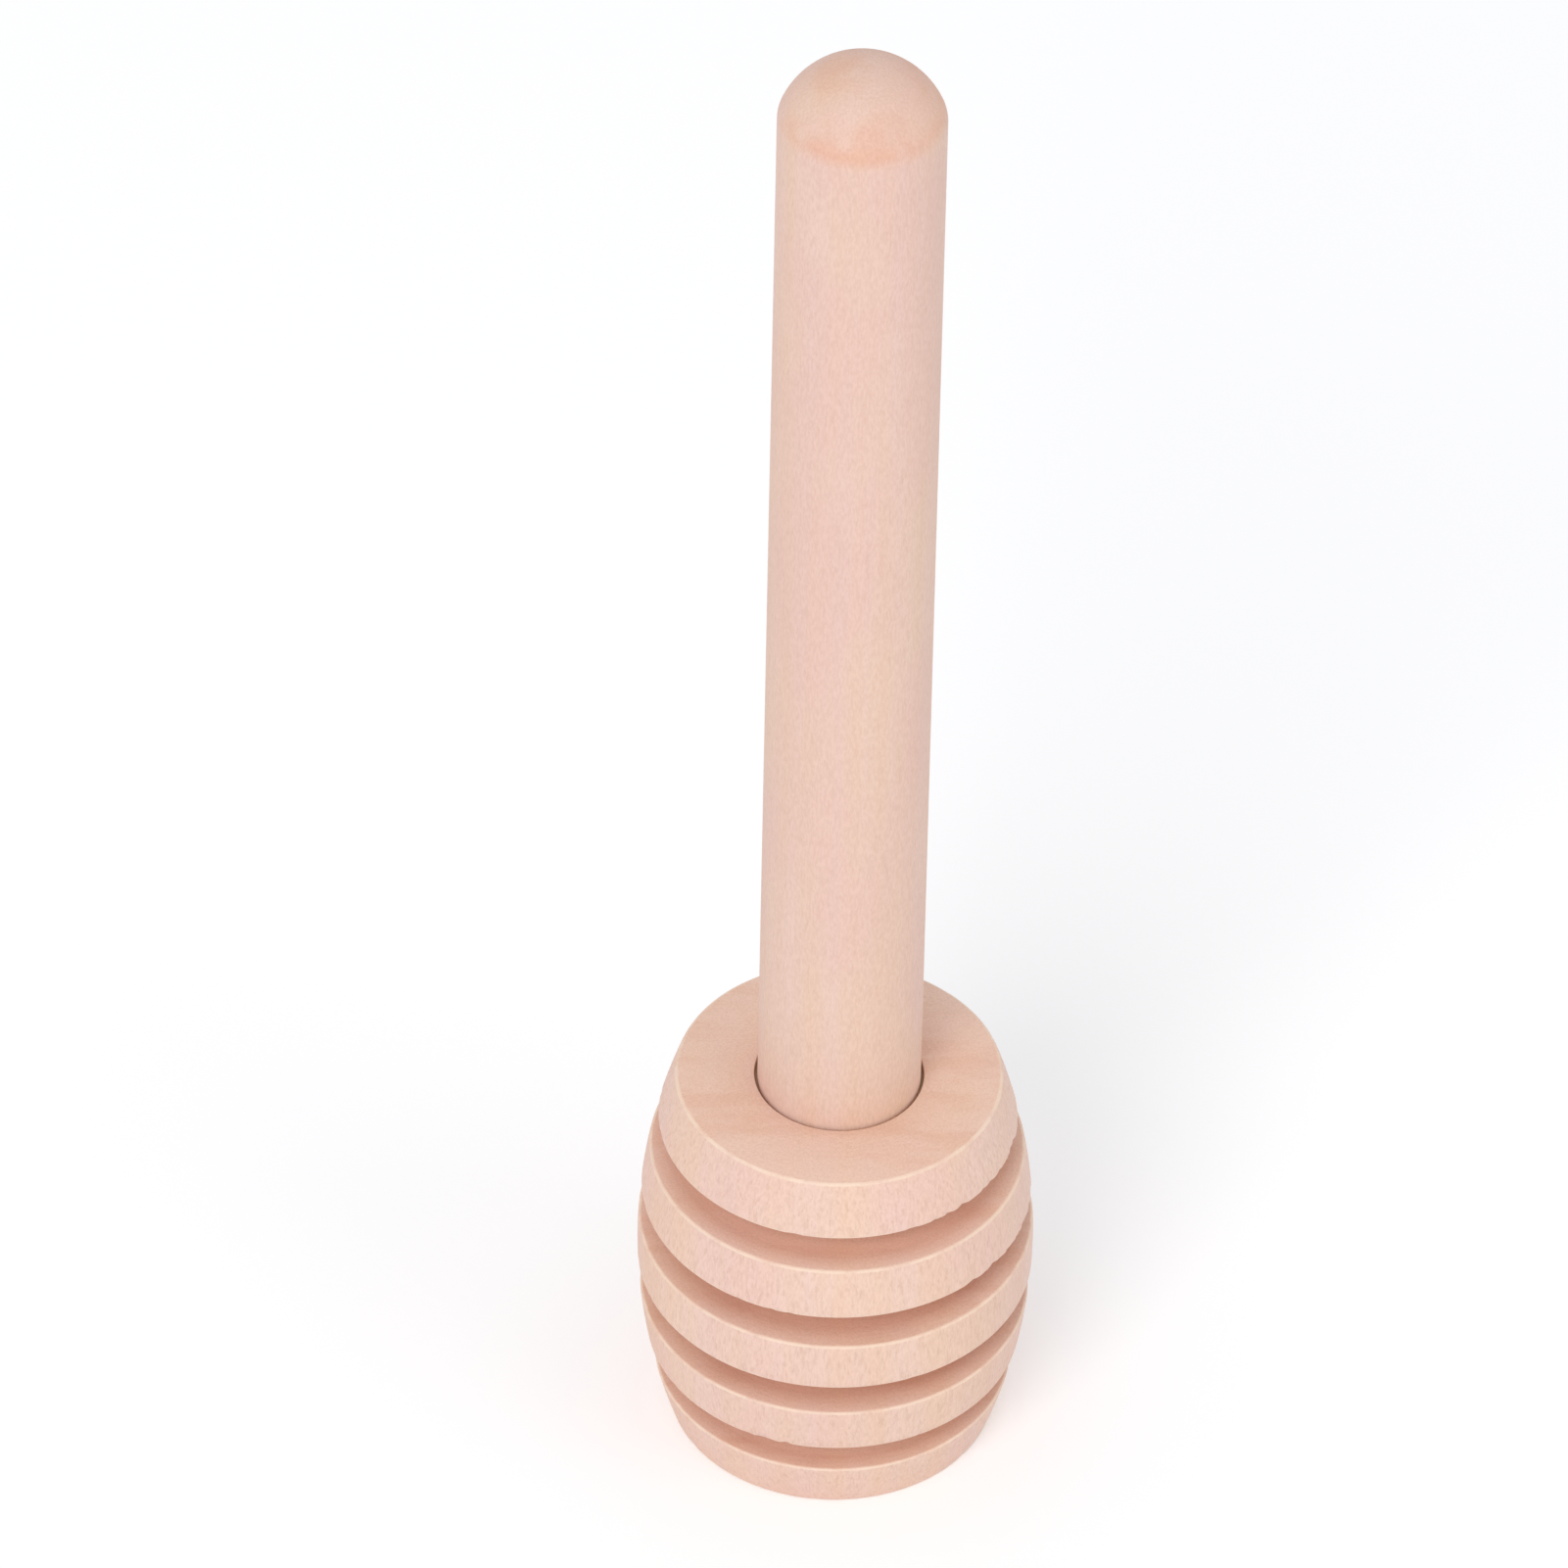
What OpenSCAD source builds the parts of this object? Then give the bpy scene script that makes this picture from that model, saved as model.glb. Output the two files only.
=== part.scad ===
// Honey dipper: a grooved barrel head turned from one block, and a dowel handle glued into its socket.
// It stands on the head. The origin is the centre of the head's bottom face, and +Z runs up the handle.

/* [Head] */
// Diameter of the barrel at its widest, half way up
barrel_d = 19.5; // [18.6:0.1:26]
// Diameter of the flat top and bottom faces
face_d = 16; // [15:0.1:18.4]
// Number of discs in the stack
disc_count = 5; // [4:1:9]
// Thickness of the top disc and of the bottom disc
end_disc_h = 2.9; // [2:0.1:5]
// Thickness of each disc between them
disc_h = 2.8; // [1.5:0.1:5]
// Width of each honey groove
groove_w = 1.8; // [0.8:0.1:4]
// Diameter of the solid core at the bottom of the grooves
core_d = 14; // [11.5:0.1:14.6]
// Rounding of every rim
rim_r = 0.15; // [0.05:0.01:0.4]

/* [Handle] */
// Diameter of the dowel
handle_d = 8; // [6:0.1:9]
// Height of the handle's tip above the head's top face
handle_reach = 63.6; // [30:0.1:180]
// Height of the domed tip
tip_h = 2.9; // [1:0.1:2.9]
// Rounding where the dome meets the dowel's side
tip_edge_r = 0.5; // [0.1:0.1:0.8]
// Chamfer on the end that goes into the head
end_chamfer = 0.5; // [0.1:0.1:1.5]

/* [Glued joint] */
// Depth of the blind socket in the head
socket_depth = 12; // [5:0.5:14]
// Gap between the dowel and the socket's wall, all round
socket_clearance = 0.15; // [0.05:0.01:0.3]
// Depth of the open gap between the head's top face and the glue
glue_below_top = 0.3; // [0:0.1:3]

/* [Hidden] */
$fn = 96;

// How far a cut runs past the face that it opens
cut_over = 1;
// How many radii the triangle of a corner cut reaches out, enough to cover the whole corner
corner_reach = 3;

barrel_r = barrel_d / 2;
face_r = face_d / 2;
core_r = core_d / 2;
handle_r = handle_d / 2;
socket_r = handle_r + socket_clearance;

head_h = 2 * end_disc_h + (disc_count - 2) * disc_h + (disc_count - 1) * groove_w;
socket_floor = head_h - socket_depth;
tip_z = head_h + handle_reach;

// The barrel's side is one arc through the two faces' edges and the widest point half way up.
barrel_bulge = barrel_r - face_r;
barrel_arc_r = ((head_h / 2) ^ 2 + barrel_bulge ^ 2) / (2 * barrel_bulge);
barrel_arc_centre = [barrel_r - barrel_arc_r, head_h / 2];

// The tip is a spherical cap on the dowel's end.
tip_sphere_r = (handle_r ^ 2 + tip_h ^ 2) / (2 * tip_h);
tip_centre = [0, tip_z - tip_sphere_r];

wood = "#ebcdb8";
dried_glue = "#e6dcc0";

// Height of the lower face of groove i, counted up from the bottom
function groove_floor(i) = end_disc_h + i * (groove_w + disc_h);
function unit(v) = v / norm(v);

// Centre of a rim's rounding, which touches a flat face at height z and the barrel's side.
// side is 1 where the wood lies below the face, and -1 where it lies above.
function rim_centre(z, side) =
    let (fz = z - side * rim_r, dz = fz - barrel_arc_centre.y)
    [barrel_arc_centre.x + sqrt((barrel_arc_r - rim_r) ^ 2 - dz ^ 2), fz];

// The corner outside a rounding of radius r: centre c, and the directions to its two tangent points
module corner_outside(c, from, to, r) {
    difference() {
        polygon([c, c + corner_reach * r * from, c + corner_reach * r * to]);
        translate(c) circle(r);
    }
}

module rim_rounding(z, side) {
    c = rim_centre(z, side);
    corner_outside(c, [0, side], unit(c - barrel_arc_centre), rim_r);
}

// Half section of the barrel before the grooves are cut
module barrel_section() {
    intersection() {
        translate(barrel_arc_centre) circle(barrel_arc_r);
        square([barrel_r, head_h]);
    }
}

// Half section of the grooved head, with the blind socket for the handle
module head_section() {
    difference() {
        barrel_section();
        translate([0, socket_floor]) square([socket_r, socket_depth + cut_over]);
        for (i = [0 : disc_count - 2])
            translate([core_r, groove_floor(i)]) square([barrel_r, groove_w]);
        rim_rounding(0, -1);
        rim_rounding(head_h, 1);
        for (i = [0 : disc_count - 2]) {
            rim_rounding(groove_floor(i), 1);
            rim_rounding(groove_floor(i) + groove_w, -1);
        }
    }
}

module barrel_head() {
    color(wood) rotate_extrude() head_section();
}

// Half section of the handle: a chamfered foot, the dowel, and the domed tip with its edge softened
module handle_section() {
    edge_x = handle_r - tip_edge_r;
    edge_centre = [edge_x, tip_centre.y + sqrt((tip_sphere_r - tip_edge_r) ^ 2 - edge_x ^ 2)];
    difference() {
        intersection() {
            polygon([
                [0, socket_floor],
                [handle_r - end_chamfer, socket_floor],
                [handle_r, socket_floor + end_chamfer],
                [handle_r, tip_z],
                [0, tip_z]
            ]);
            union() {
                translate(tip_centre) circle(tip_sphere_r);
                translate([0, socket_floor]) square([handle_r, tip_centre.y - socket_floor]);
            }
        }
        corner_outside(edge_centre, [1, 0], unit(edge_centre - tip_centre), tip_edge_r);
    }
}

module handle() {
    color(wood) rotate_extrude() handle_section();
}

// The dried glue that fills the socket round the dowel, up to just below the head's top face
module glue_bond() {
    glue_top = head_h - glue_below_top;
    color(dried_glue)
        rotate_extrude()
            polygon([
                [handle_r - end_chamfer, socket_floor],
                [socket_r, socket_floor],
                [socket_r, glue_top],
                [handle_r, glue_top],
                [handle_r, socket_floor + end_chamfer]
            ]);
}

barrel_head();
handle();
glue_bond();
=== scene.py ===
# The looks of a small turned honey dipper: its grooved barrel head, its dowel handle and the glue between.
# Lengths are in metres, in the frame of the solids: +Z runs up the handle, and the head stands on Z = 0.

import math
import random

import bmesh
import bpy
from bpy.props import FloatProperty, FloatVectorProperty, IntProperty, PointerProperty
from mathutils import Matrix, Vector, noise


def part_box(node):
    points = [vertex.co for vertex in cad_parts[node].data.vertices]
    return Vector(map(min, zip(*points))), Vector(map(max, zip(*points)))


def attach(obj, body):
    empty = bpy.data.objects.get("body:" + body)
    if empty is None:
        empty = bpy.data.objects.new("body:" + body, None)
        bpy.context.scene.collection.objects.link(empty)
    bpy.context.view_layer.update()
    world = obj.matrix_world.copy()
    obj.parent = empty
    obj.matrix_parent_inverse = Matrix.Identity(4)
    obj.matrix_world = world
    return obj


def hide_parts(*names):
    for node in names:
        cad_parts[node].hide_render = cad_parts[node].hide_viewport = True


bl_info = {
    "name": "Honey Dipper",
    "version": (1, 0, 0),
    "blender": (4, 5, 0),
    "location": "View3D > Sidebar > Honey Dipper",
    "description": "Builds a turned honey dipper: its grooved head, its handle and a plain stage",
    "category": "Object",
}

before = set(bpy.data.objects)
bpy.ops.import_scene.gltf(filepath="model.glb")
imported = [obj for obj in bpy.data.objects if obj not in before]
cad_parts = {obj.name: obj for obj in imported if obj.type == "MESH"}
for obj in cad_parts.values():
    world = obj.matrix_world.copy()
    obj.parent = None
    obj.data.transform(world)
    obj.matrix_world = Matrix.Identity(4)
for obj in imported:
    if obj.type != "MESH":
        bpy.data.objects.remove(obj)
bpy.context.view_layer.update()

MM = 0.001
HEAD_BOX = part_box("barrel_head")
HANDLE_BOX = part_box("handle")
HEAD_HEIGHT = HEAD_BOX[1].z - HEAD_BOX[0].z
HEAD_DIAMETER = HEAD_BOX[1].x - HEAD_BOX[0].x
HANDLE_DIAMETER = HANDLE_BOX[1].x - HANDLE_BOX[0].x
HANDLE_FOOT = HANDLE_BOX[0].z
HANDLE_TIP = HANDLE_BOX[1].z

# Attribute on both wooden pieces. Red is end grain, and blue is how deep a point lies in a groove, which
# becomes painted shade.
# Green is a painted highlight on the head's rims, and on the handle the rosy flush above the dome's edge,
# which carries painted shade at +X.
GRAIN_AND_LIGHT_MASKS = "grain_and_light_masks"

# Points nearer than this are one point, and heights nearer than the second are taken as the same
MERGE_GAP = 1e-7
NEAR = 0.01 * MM

# How firmly a piece's large faces keep their normals, up to 100
FACE_WEIGHT = 80

# Kinds of socket on a shader node group
VECTOR = "NodeSocketVector"
NUMBER = "NodeSocketFloat"
COLOUR = "NodeSocketColor"

# Tints that the patterns lay over the wood and the glue, with painted shade in the flush and groove tints,
# and the colour of a rim's painted highlight
SWAY_DARK = (0.965, 0.96, 0.955, 1)
SWAY_LIGHT = (1.03, 1.025, 1.02, 1)
STREAK_TINT = (0.95, 0.88, 0.83, 1)
FLECK_TINT = (0.86, 0.80, 0.75, 1)
MOTTLE_TINT = (0.92, 0.895, 0.875, 1)
FLUSH_AND_SHADE_TINT = (0.97, 0.82, 0.72, 1)
GROOVE_SHADE_TINT = (0.75, 0.565, 0.485, 1)
LUMP_TINT = (0.8, 0.75, 0.7, 1)
RIM_HIGHLIGHT_COLOUR = (0.98, 0.80, 0.64, 1)

# The lathe's rings stand 0.33 mm apart, which is this many radians in a metre, and wander this far
RING_RATE = 19000.0
RING_WANDER = 1.1 * MM


class HeadSettings(bpy.types.PropertyGroup):
    """Sizes of the grooved head"""

    face_diameter: FloatProperty(
        name="Face diameter", description="Diameter of the flat top and bottom faces",
        default=16 * MM, min=15 * MM, max=18.4 * MM, subtype="DISTANCE", unit="LENGTH")
    disc_count: IntProperty(
        name="Discs", description="Number of discs in the stack", default=5, min=4, max=9)
    end_disc_height: FloatProperty(
        name="End disc height", description="Thickness of the top disc and of the bottom disc",
        default=2.9 * MM, min=2 * MM, max=5 * MM, subtype="DISTANCE", unit="LENGTH")
    groove_width: FloatProperty(
        name="Groove width", description="Width of each honey groove",
        default=1.8 * MM, min=0.8 * MM, max=4 * MM, subtype="DISTANCE", unit="LENGTH")
    core_diameter: FloatProperty(
        name="Core diameter", description="Diameter of the solid core at the bottom of the grooves",
        default=14 * MM, min=11.5 * MM, max=14.6 * MM, subtype="DISTANCE", unit="LENGTH")
    rim_rounding: FloatProperty(
        name="Rim rounding", description="Rounding of every outer rim",
        default=0.15 * MM, min=0.05 * MM, max=0.4 * MM, subtype="DISTANCE", unit="LENGTH")
    socket_diameter: FloatProperty(
        name="Socket diameter", description="Diameter of the blind socket for the handle",
        default=8.3 * MM, min=6 * MM, max=10 * MM, subtype="DISTANCE", unit="LENGTH")


class HandleSettings(bpy.types.PropertyGroup):
    """Sizes of the handle"""

    tip_height: FloatProperty(
        name="Tip height", description="Height of the domed tip",
        default=2.9 * MM, min=1 * MM, max=2.9 * MM, subtype="DISTANCE", unit="LENGTH")
    tip_edge: FloatProperty(
        name="Tip edge", description="Width of the softened edge round the dome",
        default=0.16 * MM, min=0.05 * MM, max=0.3 * MM, subtype="DISTANCE", unit="LENGTH")
    foot_chamfer: FloatProperty(
        name="Foot chamfer", description="Chamfer on the end that goes into the head",
        default=0.5 * MM, min=0.1 * MM, max=1.5 * MM, subtype="DISTANCE", unit="LENGTH")


class WoodSettings(bpy.types.PropertyGroup):
    """Colours of the wood and the glue"""

    pale: FloatVectorProperty(
        name="Pale wood", description="Colour between the bands of the grain",
        default=(0.85, 0.625, 0.54), size=3, min=0, max=1, subtype="COLOR")
    warm: FloatVectorProperty(
        name="Warm wood", description="Colour of the warm, yellowish bands of the grain",
        default=(0.83, 0.585, 0.42), size=3, min=0, max=1, subtype="COLOR")
    rosy: FloatVectorProperty(
        name="Rosy wood", description="Colour of the pinkish patches",
        default=(0.83, 0.565, 0.505), size=3, min=0, max=1, subtype="COLOR")
    end_grain: FloatVectorProperty(
        name="End grain", description="Colour of the cut ends of the grain",
        default=(0.88, 0.63, 0.51), size=3, min=0, max=1, subtype="COLOR")
    glue: FloatVectorProperty(
        name="Dried glue", description="Colour of the dried glue",
        default=(0.42, 0.27, 0.17), size=3, min=0, max=1, subtype="COLOR")


class StageSettings(bpy.types.PropertyGroup):
    """The lamps and the floor"""

    key_power: FloatProperty(
        name="Key lamp", description="Power of the large lamp at the front left, in watts",
        default=3.35, min=0, max=20, unit="POWER")
    fill_power: FloatProperty(
        name="Fill lamp", description="Power of the lamp at the right, in watts",
        default=0.75, min=0, max=20, unit="POWER")
    sky_strength: FloatProperty(
        name="Room light", description="Strength of the even light from the room",
        default=0.69, min=0, max=2)


def finish_piece(bm, name):
    """Makes the bmesh an object that rides on the only body."""
    mesh = bpy.data.meshes.new(name)
    bm.to_mesh(mesh)
    bm.free()
    mesh.shade_smooth()
    piece = bpy.data.objects.new(name, mesh)
    bpy.context.scene.collection.objects.link(piece)
    normals = piece.modifiers.new("even normals", "WEIGHTED_NORMAL")
    normals.mode = "FACE_AREA"
    normals.weight = FACE_WEIGHT
    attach(piece, "root")
    return piece


def turn_outline(outline, steps):
    """Spins an outline of (radius, height) pairs round the Z axis, as a lathe does."""
    bm = bmesh.new()
    points = [bm.verts.new((radius, 0, height)) for radius, height in outline]
    lines = [bm.edges.new(pair) for pair in zip(points, points[1:])]
    bmesh.ops.spin(
        bm, geom=points + lines, cent=(0, 0, 0), axis=(0, 0, 1), dvec=(0, 0, 0), angle=2 * math.pi,
        space=Matrix(), steps=steps, use_merge=True, use_normal_flip=False, use_duplicate=False)
    bmesh.ops.remove_doubles(bm, verts=bm.verts[:], dist=MERGE_GAP)
    bmesh.ops.recalc_face_normals(bm, faces=bm.faces[:])
    return bm


def ring_edges(bm, radius, height, near=0.02 * MM):
    """The edges of the ring at that radius and height."""
    def on_ring(vert):
        return abs(vert.co.z - height) < near and abs(vert.co.xy.length - radius) < near
    return [edge for edge in bm.edges if on_ring(edge.verts[0]) and on_ring(edge.verts[1])]


def round_rings(bm, rings, width, segments):
    """Rounds the rings at those radii and heights, and returns the vertices inside the roundings."""
    edges = [edge for radius, height in rings for edge in ring_edges(bm, radius, height)]
    made = bmesh.ops.bevel(
        bm, geom=edges, offset=width, offset_type="OFFSET", affect="EDGES", segments=segments,
        profile=0.5, material=-1, clamp_overlap=True)
    rounded = set(made["faces"])
    return {vert for face in rounded for vert in face.verts if rounded.issuperset(vert.link_faces)}


def share(value, low, high):
    """How far the value lies on the way from low to high, from 0 to 1."""
    return min(1, max(0, (value - low) / (high - low)))


class DIPPER_OT_turn_head(bpy.types.Operator):
    """Turns the grooved head, with its rounded rims, small tear-outs and socket"""

    bl_idname = "dipper.turn_head"
    bl_label = "Turn Head"

    steps = 384
    arc_points = 6
    rim_segments = 4
    mouth_rounding = 0.06 * MM
    mouth_segments = 2

    # Upright part of a face's normal below which it shows no end grain, and above which it shows all of it
    steep_face = 4 / 15
    level_face = 14 / 15
    looks = {"bands": 0.55, "patches": 0.5, "flecks": 0.5, "roughness": 0.62, "tip": 0.0, "lift": 1.06}

    # How many tear-outs a rim has, the angles they lie at, and their widths and depths in millimetres
    tear_seed = 11
    lower_tears = {"count": 16, "angles": (-math.pi, math.pi), "widths": (0.12, 0.5), "depths": (0.03, 0.09)}
    upper_tears = {"count": 7, "angles": (-math.pi, math.pi), "widths": (0.12, 0.5), "depths": (0.03, 0.05)}
    ragged_tears = {"count": 16, "angles": (-1.0, -0.1), "widths": (0.15, 0.5), "depths": (0.05, 0.14)}

    # How far a tear-out reaches from its rim, and how uneven it is
    tear_reach = 0.32 * MM
    uneven_share = 0.3
    uneven_scale = 9000

    def execute(self, context):
        sizes = context.scene.dipper_head
        face_radius = sizes.face_diameter / 2
        core_radius = sizes.core_diameter / 2
        socket_radius = sizes.socket_diameter / 2
        bulge = HEAD_DIAMETER / 2 - face_radius
        half = HEAD_HEIGHT / 2
        arc_radius = (half ** 2 + bulge ** 2) / (2 * bulge)
        all_grooves = (sizes.disc_count - 1) * sizes.groove_width
        middle_discs = HEAD_HEIGHT - 2 * sizes.end_disc_height - all_grooves
        disc_height = middle_discs / (sizes.disc_count - 2)

        def barrel_radius(height):
            return face_radius + bulge - arc_radius + math.sqrt(arc_radius ** 2 - (height - half) ** 2)

        outline = [(0, 0)]
        rims = []
        floor = 0
        for disc in range(sizes.disc_count):
            is_end = disc in (0, sizes.disc_count - 1)
            top = floor + (sizes.end_disc_height if is_end else disc_height)
            if disc:
                outline += [(core_radius, floor), ((core_radius + barrel_radius(floor)) / 2, floor)]
            for step in range(self.arc_points + 1):
                height = floor + (top - floor) * step / self.arc_points
                outline.append((barrel_radius(height), height))
            rims += [(barrel_radius(floor), floor), (barrel_radius(top), top)]
            if disc < sizes.disc_count - 1:
                outline += [((core_radius + barrel_radius(top)) / 2, top), (core_radius, top)]
            floor = top + sizes.groove_width
        outline += [(socket_radius, HEAD_HEIGHT), (socket_radius, HANDLE_FOOT), (0, HANDLE_FOOT)]

        bm = turn_outline(outline, self.steps)
        rim_verts = round_rings(bm, rims, sizes.rim_rounding, self.rim_segments)
        mouth = [(socket_radius, HEAD_HEIGHT)]
        mouth_verts = round_rings(bm, mouth, self.mouth_rounding, self.mouth_segments)
        bm.verts.index_update()
        # The roundings of the rims and of the socket's mouth get a painted highlight
        rim_numbers = {vert.index for vert in rim_verts | mouth_verts if vert.is_valid}
        bm.normal_update()

        # Adding the layer drops held vertices, so the roundings are known by number
        layer = bm.verts.layers.float_color.new(GRAIN_AND_LIGHT_MASKS)
        groove_depth = HEAD_DIAMETER / 2 - core_radius
        lowest_groove = sizes.end_disc_height - NEAR
        highest_groove = HEAD_HEIGHT - sizes.end_disc_height + NEAR
        for vert in bm.verts:
            end_grain = share(abs(vert.normal.z), self.steep_face, self.level_face)
            # The deeper a point lies in a groove, the more painted shade it gets
            groove_shade = 0
            if lowest_groove < vert.co.z < highest_groove:
                groove_shade = share(barrel_radius(vert.co.z) - vert.co.xy.length, 0, groove_depth)
            vert[layer] = (end_grain, 1 if vert.index in rim_numbers else 0, groove_shade, 1)

        self.tear_rims(bm, rims, barrel_radius)
        piece = finish_piece(bm, "turned_head")
        piece.data.materials.append(wood_material("head wood", context.scene.dipper_wood, self.looks))
        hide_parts("barrel_head")
        return {"FINISHED"}

    def draw_tears(self, draw, kind, radius, height):
        """The tear-outs of one rim: each one's angle, height, half width as an angle, and depth."""
        return [
            (draw.uniform(*kind["angles"]), height, draw.uniform(*kind["widths"]) * MM / radius,
             draw.uniform(*kind["depths"]) * MM)
            for _ in range(kind["count"])]

    def tear_rims(self, bm, rims, barrel_radius):
        """Pushes the wood in where the tool tore small bits from the rims, most on the lower ones."""
        draw = random.Random(self.tear_seed)
        tears = []
        for number, (radius, height) in enumerate(rims):
            kind = self.upper_tears if number % 2 else self.lower_tears
            tears += self.draw_tears(draw, kind, radius, height)

        # The ragged stretch at the right, on the lower rims of the second disc down and the top disc
        second_down, top_disc = rims[-4], rims[-2]
        for _, height in (second_down, top_disc):
            tears += self.draw_tears(draw, self.ragged_tears, second_down[0], height)

        # Wood within one handle's diameter of the axis is left whole
        near_rims = {height: [] for _, height, _, _ in tears}
        for vert in bm.verts:
            if vert.co.xy.length < HANDLE_DIAMETER:
                continue
            for height, near in near_rims.items():
                if abs(vert.co.z - height) < self.tear_reach:
                    near.append(vert)

        for angle, height, width, depth in tears:
            for vert in near_rims[height]:
                radius = vert.co.xy.length
                if barrel_radius(height) - radius > self.tear_reach:
                    continue
                turn = math.remainder(math.atan2(vert.co.y, vert.co.x) - angle, 2 * math.pi) / width
                if abs(turn) >= 1:
                    continue
                uneven = 1 - self.uneven_share + self.uneven_share * noise.noise(vert.co * self.uneven_scale)
                near = 1 - abs(vert.co.z - height) / self.tear_reach
                vert.co.xy *= (radius - depth * (1 - turn * turn) ** 2 * near * uneven) / radius


class DIPPER_OT_round_handle(bpy.types.Operator):
    """Makes the dowel handle with its domed tip, softened edge and chamfered foot"""

    bl_idname = "dipper.round_handle"
    bl_label = "Round Handle"

    steps = 256
    side_points = 40
    dome_points = 28
    edge_segments = 4

    # Share of end grain on the dome, and the height over the dome's edge at which it is reached
    dome_end_grain = 0.55
    dome_fade = 0.8 * MM

    # Height of the rosy flush over the dome's edge, and how far it spreads each way
    flush_height = 0.5 * MM
    flush_spread = 0.62 * MM
    looks = {"bands": 0.5, "patches": 0.62, "flecks": 0.24, "roughness": 0.6, "tip": 1.0, "lift": 1.0}

    def execute(self, context):
        sizes = context.scene.dipper_handle
        radius = HANDLE_DIAMETER / 2
        sphere = (radius ** 2 + sizes.tip_height ** 2) / (2 * sizes.tip_height)
        dome_rim = HANDLE_TIP - sizes.tip_height
        rim_angle = math.asin(radius / sphere)
        foot = HANDLE_FOOT + sizes.foot_chamfer
        outline = [(0, HANDLE_FOOT), (radius - sizes.foot_chamfer, HANDLE_FOOT)]
        for step in range(self.side_points + 1):
            outline.append((radius, foot + (dome_rim - foot) * step / self.side_points))
        for step in range(1, self.dome_points + 1):
            angle = rim_angle * (1 - step / self.dome_points)
            outline.append((sphere * math.sin(angle), HANDLE_TIP - sphere + sphere * math.cos(angle)))
        bm = turn_outline(outline, self.steps)
        round_rings(bm, [(radius, dome_rim)], sizes.tip_edge, self.edge_segments)
        layer = bm.verts.layers.float_color.new(GRAIN_AND_LIGHT_MASKS)
        for vert in bm.verts:
            above_rim = vert.co.z - dome_rim
            end_grain = share(above_rim, 0, self.dome_fade) * self.dome_end_grain
            flush_and_shade = max(0, 1 - abs(above_rim - self.flush_height) / self.flush_spread)
            vert[layer] = (end_grain, flush_and_shade, 0, 1)
        piece = finish_piece(bm, "dowel_handle")
        piece.data.materials.append(wood_material("handle wood", context.scene.dipper_wood, self.looks))
        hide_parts("handle")
        return {"FINISHED"}


class DIPPER_OT_dry_glue(bpy.types.Operator):
    """Gives the glue in the socket its dull, uneven finish"""

    bl_idname = "dipper.dry_glue"
    bl_label = "Dry Glue"

    def execute(self, context):
        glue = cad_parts["glue_bond"]
        glue.data.materials.clear()
        glue.data.materials.append(glue_material(context.scene.dipper_wood))
        return {"FINISHED"}


class Nodes:
    """Short ways to add and join the nodes of one tree."""

    def __init__(self, tree):
        self.tree = tree

    def add(self, kind, **values):
        node = self.tree.nodes.new(kind)
        for name, value in values.items():
            setattr(node, name, value)
        return node

    def put(self, value, entry):
        """Joins an output to an input, or sets the input's value."""
        if isinstance(value, bpy.types.NodeSocket):
            self.tree.links.new(value, entry)
        else:
            entry.default_value = value

    def math(self, operation, first, second=0.0, clamp=False):
        node = self.add("ShaderNodeMath", operation=operation, use_clamp=clamp)
        self.put(first, node.inputs[0])
        self.put(second, node.inputs[1])
        return node.outputs[0]

    def product(self, first, *others):
        """Multiplies all the values."""
        for other in others:
            first = self.math("MULTIPLY", first, other)
        return first

    def mix(self, factor, first, second, blend="MIX"):
        node = self.add("ShaderNodeMix", data_type="RGBA", blend_type=blend)
        self.put(factor, node.inputs["Factor"])
        self.put(first, node.inputs["A"])
        self.put(second, node.inputs["B"])
        return node.outputs["Result"]

    def tint(self, factor, colour, tint):
        """Multiplies a share of the colour by a tint."""
        return self.mix(factor, colour, self.mix(1.0, colour, tint, "MULTIPLY"))

    def noise(self, vector, scale, detail=3.0, roughness=0.5):
        node = self.add("ShaderNodeTexNoise")
        self.put(vector, node.inputs["Vector"])
        self.put(scale, node.inputs["Scale"])
        node.inputs["Detail"].default_value = detail
        node.inputs["Roughness"].default_value = roughness
        return node.outputs["Fac"]

    def span(self, value, low, high, out_low=0.0, out_high=1.0):
        """Maps the values from low to high smoothly on to those from out_low to out_high."""
        node = self.add("ShaderNodeMapRange", interpolation_type="SMOOTHSTEP")
        for number, entry in enumerate((value, low, high, out_low, out_high)):
            self.put(entry, node.inputs[number])
        return node.outputs[0]

    def stretch(self, vector, scale, move=(0, 0, 0)):
        node = self.add("ShaderNodeMapping")
        self.put(vector, node.inputs["Vector"])
        node.inputs["Location"].default_value = move
        node.inputs["Scale"].default_value = scale
        return node.outputs["Vector"]

    def bump(self, height, strength, distance, shader):
        """Lets the height tilt the shader's normals."""
        node = self.add("ShaderNodeBump")
        node.inputs["Strength"].default_value = strength
        node.inputs["Distance"].default_value = distance
        self.put(height, node.inputs["Height"])
        self.put(node.outputs["Normal"], shader.inputs["Normal"])


def new_group(name, entries, results):
    group = bpy.data.node_groups.new(name, "ShaderNodeTree")
    for direction, sockets in (("INPUT", entries), ("OUTPUT", results)):
        for entry, kind in sockets.items():
            group.interface.new_socket(name=entry, in_out=direction, socket_type=kind)
    kit = Nodes(group)
    given = kit.add("NodeGroupInput").outputs
    out = kit.add("NodeGroupOutput").inputs
    return group, kit, given, out


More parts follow.
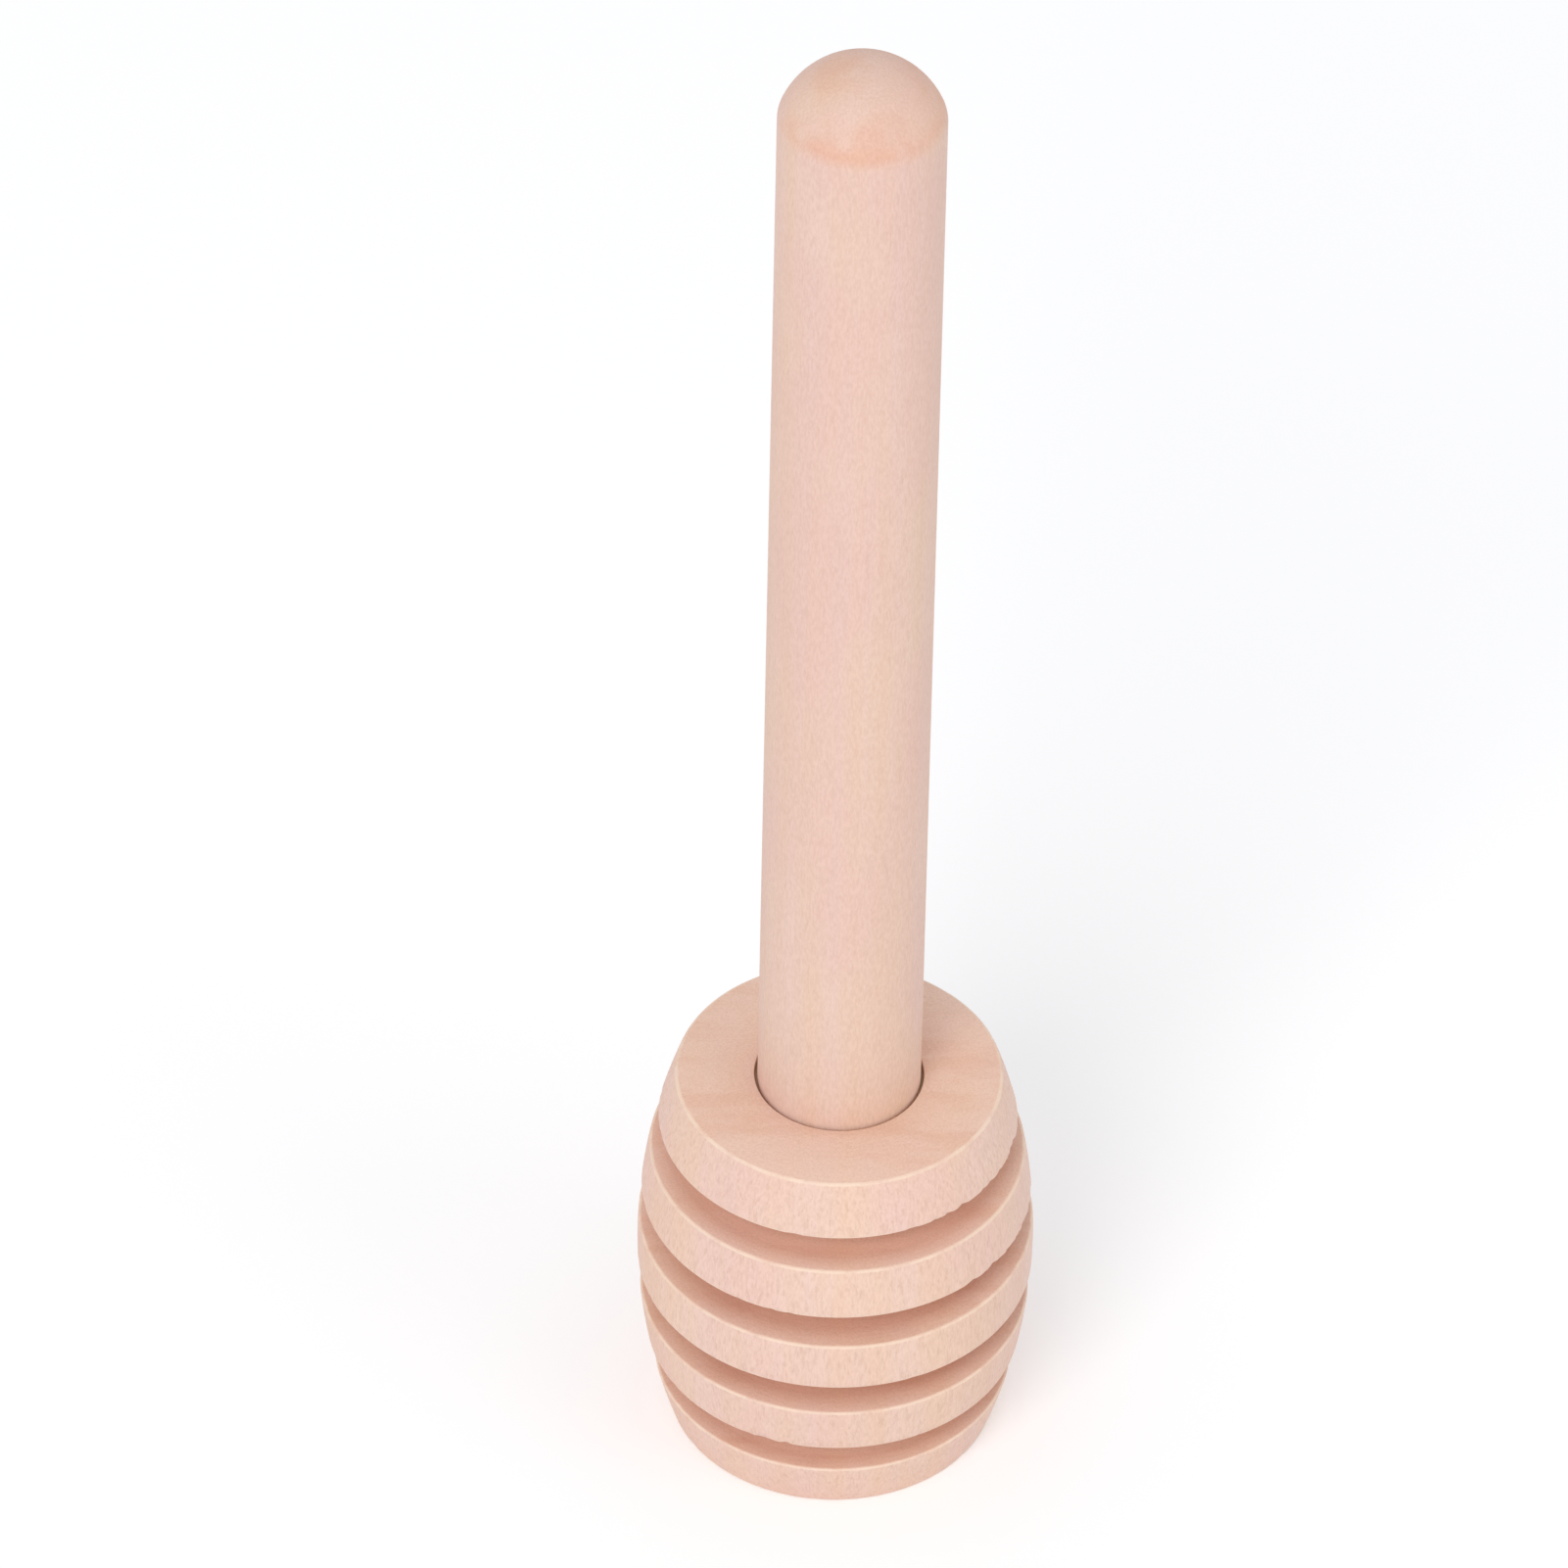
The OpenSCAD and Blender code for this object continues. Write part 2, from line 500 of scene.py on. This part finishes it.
def grain_group():
    """Grain of pale diffuse-porous wood that runs along Z: soft bands, cloudy patches and fine flecks."""
    name = "wood grain"
    if name in bpy.data.node_groups:
        return bpy.data.node_groups[name]
    entries = {
        "Vector": VECTOR, "Bands": NUMBER, "Patches": NUMBER, "Flecks": NUMBER, "End Grain": NUMBER,
        "Pale": COLOUR, "Warm": COLOUR, "Rosy": COLOUR, "End": COLOUR}
    results = {"Color": COLOUR, "Height": NUMBER, "Roughness": NUMBER}
    group, kit, given, out = new_group(name, entries, results)

    # Growth bands stand across X, bend a little along the block, and are nearly straight along Z
    along = kit.stretch(given["Vector"], scale=(1, 0.45, 0.035))
    sway = kit.noise(along, scale=260, detail=2)
    bands = kit.span(kit.noise(along, scale=520, roughness=0.55), low=0.36, high=0.68)
    narrow = kit.span(kit.noise(along, scale=1500, roughness=0.6), low=0.35, high=0.72)
    cloudy = kit.stretch(given["Vector"], scale=(1, 1, 0.5), move=(3, 5, 7))
    patches = kit.span(kit.noise(cloudy, scale=180, detail=2), low=0.38, high=0.66)
    colour = kit.mix(kit.product(bands, given["Bands"]), given["Pale"], given["Warm"])
    colour = kit.mix(kit.product(patches, given["Patches"]), colour, given["Rosy"])
    colour = kit.mix(kit.product(narrow, given["Bands"], 0.35), colour, given["Warm"])

    # End grain is warmer, with faint streaks where the growth bands cross it
    colour = kit.mix(kit.product(given["End Grain"], 0.5), colour, given["End"])
    crossing = kit.stretch(given["Vector"], scale=(0.3, 1.3, 0.4), move=(2, 1, 4))
    streaks = kit.span(kit.noise(crossing, scale=420, roughness=0.6), low=0.45, high=0.68)
    colour = kit.tint(kit.product(streaks, given["End Grain"], 0.85), colour, STREAK_TINT)
    colour = kit.mix(1.0, colour, kit.mix(sway, SWAY_DARK, SWAY_LIGHT), "MULTIPLY")

    # Flecks are the cut pores and rays, long along the grain, and on end grain they are round pores
    lengthwise = kit.stretch(given["Vector"], scale=(1, 1, 0.2))
    flecks = kit.span(kit.noise(lengthwise, scale=6500, roughness=0.65), low=0.50, high=0.70)
    pores = kit.span(kit.noise(given["Vector"], scale=7500, roughness=0.6), low=0.50, high=0.70)
    pore_strength = kit.span(given["End Grain"], low=0.0, high=1.0, out_low=1.0, out_high=0.45)
    marks = kit.product(kit.mix(given["End Grain"], flecks, pores), given["Flecks"], pore_strength)
    colour = kit.tint(marks, colour, FLECK_TINT)

    # A fine mottling lies over all of it
    short = kit.stretch(given["Vector"], scale=(1, 1, 0.3))
    fine = kit.noise(short, scale=9000, detail=2, roughness=0.6)
    colour = kit.tint(kit.span(fine, low=0.35, high=0.65, out_high=0.8), colour, MOTTLE_TINT)
    kit.put(colour, out["Color"])

    # Flecks are sunk, the fine grain stands up, and narrow bands are a little rougher
    kit.put(kit.math("ADD", kit.product(marks, -0.9), kit.product(fine, 0.45)), out["Height"])
    kit.put(kit.product(kit.math("SUBTRACT", narrow, 0.5), 0.08), out["Roughness"])
    return group


def rings_and_painted_light_group():
    """Fine lathe rings, a painted highlight on the rims, painted shade in the grooves, and a rosy flush on
    the tip with painted shade on its +X side.
    """
    name = "turning marks"
    if name in bpy.data.node_groups:
        return bpy.data.node_groups[name]
    entries = {
        "Vector": VECTOR, "Base": COLOUR, "End Grain": NUMBER, "Rim": NUMBER, "Groove Shade": NUMBER, "Tip": NUMBER}
    results = {"Color": COLOUR, "Height": NUMBER}
    group, kit, given, out = new_group(name, entries, results)

    # Rings round the axis, on end grain only, that wander a little
    parts = kit.add("ShaderNodeSeparateXYZ")
    kit.put(given["Vector"], parts.inputs[0])
    squares = [kit.math("POWER", parts.outputs[axis], 2.0) for axis in ("X", "Y")]
    radius = kit.math("SQRT", kit.math("ADD", *squares))
    wander = kit.product(kit.noise(given["Vector"], scale=300, detail=2), RING_WANDER)
    rings = kit.math("SINE", kit.product(kit.math("ADD", radius, wander), RING_RATE))
    ring_strength = kit.math("ADD", 0.12, kit.product(given["Tip"], 0.25))
    kit.put(kit.product(rings, given["End Grain"], ring_strength), out["Height"])

    # On the tip, a rosy flush in the wood lies above the dome's edge and over the dome, and painted shade
    # strengthens it on the +X side
    flush_and_shade = kit.span(kit.noise(given["Vector"], scale=330, detail=2), low=0.4, high=0.62)
    shaded_right_side = kit.span(parts.outputs["X"], low=0.5 * MM, high=3.5 * MM)
    flush_and_shade = kit.math("ADD", flush_and_shade, kit.product(shaded_right_side, 0.8))
    place = kit.math("ADD", kit.product(given["Rim"], 0.65), given["End Grain"])
    flush_and_shade = kit.math("MULTIPLY", kit.product(flush_and_shade, given["Tip"]), place, clamp=True)
    colour = kit.tint(kit.product(flush_and_shade, 0.9), given["Base"], FLUSH_AND_SHADE_TINT)

    # Rims away from the tip get a painted highlight, stronger in some places than in others
    broken = kit.noise(given["Vector"], scale=900, detail=2)
    broken = kit.span(broken, low=0.3, high=0.6, out_low=0.15, out_high=0.6)
    rim_highlight = kit.product(kit.math("SUBTRACT", 1.0, given["Tip"]), given["Rim"], broken)
    colour = kit.mix(rim_highlight, colour, RIM_HIGHLIGHT_COLOUR)
    # Painted shade: the grooves darken towards their core
    kit.put(kit.tint(given["Groove Shade"], colour, GROOVE_SHADE_TINT), out["Color"])
    return group


def new_material(name, roughness, shine=0.3):
    material = bpy.data.materials.new(name)
    material.use_nodes = True
    shader = material.node_tree.nodes["Principled BSDF"]
    shader.inputs["Roughness"].default_value = roughness
    shader.inputs["Specular IOR Level"].default_value = shine
    return material, shader, Nodes(material.node_tree)


def wood_material(name, colours, looks):
    """Unvarnished pale wood, sanded smooth."""
    material, shader, kit = new_material(name, looks["roughness"])
    place = kit.add("ShaderNodeTexCoord").outputs["Object"]
    grain_and_light_masks = kit.add("ShaderNodeVertexColor", layer_name=GRAIN_AND_LIGHT_MASKS)
    masks = kit.add("ShaderNodeSeparateColor")
    kit.put(grain_and_light_masks.outputs["Color"], masks.inputs[0])

    grain = kit.add("ShaderNodeGroup", node_tree=grain_group())
    kit.put(place, grain.inputs["Vector"])
    kit.put(masks.outputs[0], grain.inputs["End Grain"])
    for entry in ("Bands", "Patches", "Flecks"):
        kit.put(looks[entry.lower()], grain.inputs[entry])
    woods = {"Pale": colours.pale, "Warm": colours.warm, "Rosy": colours.rosy, "End": colours.end_grain}
    for entry, colour in woods.items():
        lifted = [min(1, looks["lift"] * part) for part in colour]
        kit.put((*lifted, 1), grain.inputs[entry])

    marks = kit.add("ShaderNodeGroup", node_tree=rings_and_painted_light_group())
    kit.put(place, marks.inputs["Vector"])
    kit.put(grain.outputs["Color"], marks.inputs["Base"])
    for number, entry in enumerate(("End Grain", "Rim", "Groove Shade")):
        kit.put(masks.outputs[number], marks.inputs[entry])
    kit.put(looks["tip"], marks.inputs["Tip"])
    kit.put(marks.outputs["Color"], shader.inputs["Base Color"])
    kit.put(kit.math("ADD", grain.outputs["Roughness"], looks["roughness"]), shader.inputs["Roughness"])
    height = kit.math("ADD", grain.outputs["Height"], kit.product(marks.outputs["Height"], 0.4))
    kit.bump(height, strength=0.6, distance=0.05 * MM, shader=shader)
    return material


def glue_material(colours):
    """Dried wood glue, a little uneven."""
    material, shader, kit = new_material("dried glue", roughness=0.45)
    place = kit.add("ShaderNodeTexCoord").outputs["Object"]
    lumps = kit.noise(place, scale=1500)
    kit.put(kit.tint(lumps, (*colours.glue, 1), LUMP_TINT), shader.inputs["Base Color"])
    kit.bump(lumps, strength=0.5, distance=0.1 * MM, shader=shader)
    return material


class DIPPER_OT_set_stage(bpy.types.Operator):
    """Sets the pale floor, the soft lamps and the camera at the photograph's angle"""

    bl_idname = "dipper.set_stage"
    bl_label = "Set Stage"

    key_place = (-0.3, -0.76, 0.66)
    key_width = 0.5
    fill_place = (0.68, -0.4, 0.4)
    fill_width = 0.6
    lamp_colour = (1.0, 0.985, 0.97)
    room_colour = (0.985, 0.99, 1.0, 1)
    white = (1, 1, 1, 1)

    # Half the floor's side, its colour, and the glow that only the camera and clear reflections see
    floor_reach = 3.0
    floor_colour = (0.95, 0.955, 0.97, 1)
    floor_glow = 0.17

    camera_place = Vector((0, -0.62684, 0.60277))
    camera_aim = Vector((-0.003042, 0.009457, 0.031769))
    camera_roll = math.radians(1.225)
    camera_lens = 401.46
    camera_sensor = 36
    camera_nearest = 0.05
    camera_farthest = 20

    def execute(self, context):
        stage = context.scene.dipper_stage
        self.floor()
        self.room(context.scene, stage.sky_strength)
        self.lamp("key lamp", stage.key_power, self.key_place, self.key_width)
        self.lamp("fill lamp", stage.fill_power, self.fill_place, self.fill_width)
        self.camera(context.scene)
        context.scene.view_settings.view_transform = "Standard"
        return {"FINISHED"}

    def white_to_camera(self, kit, plain, white):
        """Mixes a lit shader with a white one that only the camera and clear reflections see."""
        path = kit.add("ShaderNodeLightPath")
        seen = kit.math("MAXIMUM", path.outputs["Is Camera Ray"], path.outputs["Is Glossy Ray"])
        seen = kit.math("MAXIMUM", seen, path.outputs["Is Transmission Ray"])
        mix = kit.add("ShaderNodeMixShader")
        kit.put(seen, mix.inputs[0])
        kit.put(plain, mix.inputs[1])
        kit.put(white, mix.inputs[2])
        return mix.outputs[0]

    def floor(self):
        bm = bmesh.new()
        bmesh.ops.create_grid(bm, x_segments=1, y_segments=1, size=self.floor_reach)
        mesh = bpy.data.meshes.new("floor")
        bm.to_mesh(mesh)
        bm.free()
        floor = bpy.data.objects.new("floor", mesh)
        bpy.context.scene.collection.objects.link(floor)
        material, shader, kit = new_material("floor paper", roughness=0.9, shine=0.0)
        shader.inputs["Base Color"].default_value = self.floor_colour
        glow = kit.add("ShaderNodeEmission")
        glow.inputs["Strength"].default_value = self.floor_glow
        both = kit.add("ShaderNodeAddShader")
        kit.put(shader.outputs[0], both.inputs[0])
        kit.put(glow.outputs[0], both.inputs[1])
        seen = self.white_to_camera(kit, shader.outputs[0], both.outputs[0])
        kit.put(seen, material.node_tree.nodes["Material Output"].inputs["Surface"])
        mesh.materials.append(material)

    def room(self, scene, strength):
        world = bpy.data.worlds.new("room")
        scene.world = world
        world.use_nodes = True
        kit = Nodes(world.node_tree)
        light = world.node_tree.nodes["Background"]
        light.inputs["Color"].default_value = self.room_colour
        light.inputs["Strength"].default_value = strength
        white = kit.add("ShaderNodeBackground")
        white.inputs["Color"].default_value = self.white
        seen = self.white_to_camera(kit, light.outputs[0], white.outputs[0])
        kit.put(seen, world.node_tree.nodes["World Output"].inputs["Surface"])

    def lamp(self, name, power, place, width):
        light = bpy.data.lights.new(name, "AREA")
        light.shape = "DISK"
        light.size = width
        light.energy = power
        light.color = self.lamp_colour
        lamp = bpy.data.objects.new(name, light)
        bpy.context.scene.collection.objects.link(lamp)
        lamp.location = place
        aim = Vector((0, 0, HEAD_HEIGHT)) - Vector(place)
        lamp.rotation_euler = aim.to_track_quat("-Z", "Y").to_euler()

    def camera(self, scene):
        data = bpy.data.cameras.new("camera")
        data.sensor_width = self.camera_sensor
        data.lens = self.camera_lens
        data.clip_start = self.camera_nearest
        data.clip_end = self.camera_farthest
        camera = bpy.data.objects.new("camera", data)
        scene.collection.objects.link(camera)
        turn = (self.camera_aim - self.camera_place).to_track_quat("-Z", "Y").to_matrix().to_4x4()
        roll = Matrix.Rotation(self.camera_roll, 4, "Z")
        camera.matrix_world = Matrix.Translation(self.camera_place) @ turn @ roll
        scene.camera = camera


class DIPPER_PT_sidebar(bpy.types.Panel):
    """Lists the steps of the honey dipper"""

    bl_idname = "DIPPER_PT_sidebar"
    bl_label = "Honey Dipper"
    bl_space_type = "VIEW_3D"
    bl_region_type = "UI"
    bl_category = "Honey Dipper"

    listed = (
        ("dipper_head", "dipper.turn_head"),
        ("dipper_handle", "dipper.round_handle"),
        ("dipper_wood", "dipper.dry_glue"),
        ("dipper_stage", "dipper.set_stage"),
    )

    def draw(self, context):
        for settings, operator in self.listed:
            box = self.layout.box()
            group = getattr(context.scene, settings)
            for name in group.bl_rna.properties.keys():
                if name not in ("rna_type", "name"):
                    box.prop(group, name)
            box.operator(operator)


SETTINGS = {
    "dipper_head": HeadSettings,
    "dipper_handle": HandleSettings,
    "dipper_wood": WoodSettings,
    "dipper_stage": StageSettings,
}
OPERATORS = (DIPPER_OT_turn_head, DIPPER_OT_round_handle, DIPPER_OT_dry_glue, DIPPER_OT_set_stage)


def register():
    for name, settings in SETTINGS.items():
        bpy.utils.register_class(settings)
        setattr(bpy.types.Scene, name, PointerProperty(type=settings))
    for kind in (*OPERATORS, DIPPER_PT_sidebar):
        bpy.utils.register_class(kind)


def unregister():
    for kind in reversed((*OPERATORS, DIPPER_PT_sidebar)):
        bpy.utils.unregister_class(kind)
    for name, settings in reversed(SETTINGS.items()):
        delattr(bpy.types.Scene, name)
        bpy.utils.unregister_class(settings)


def main():
    register()
    bpy.ops.dipper.turn_head()
    bpy.ops.dipper.round_handle()
    bpy.ops.dipper.dry_glue()
    bpy.ops.dipper.set_stage()


if __name__ == "__main__":
    main()
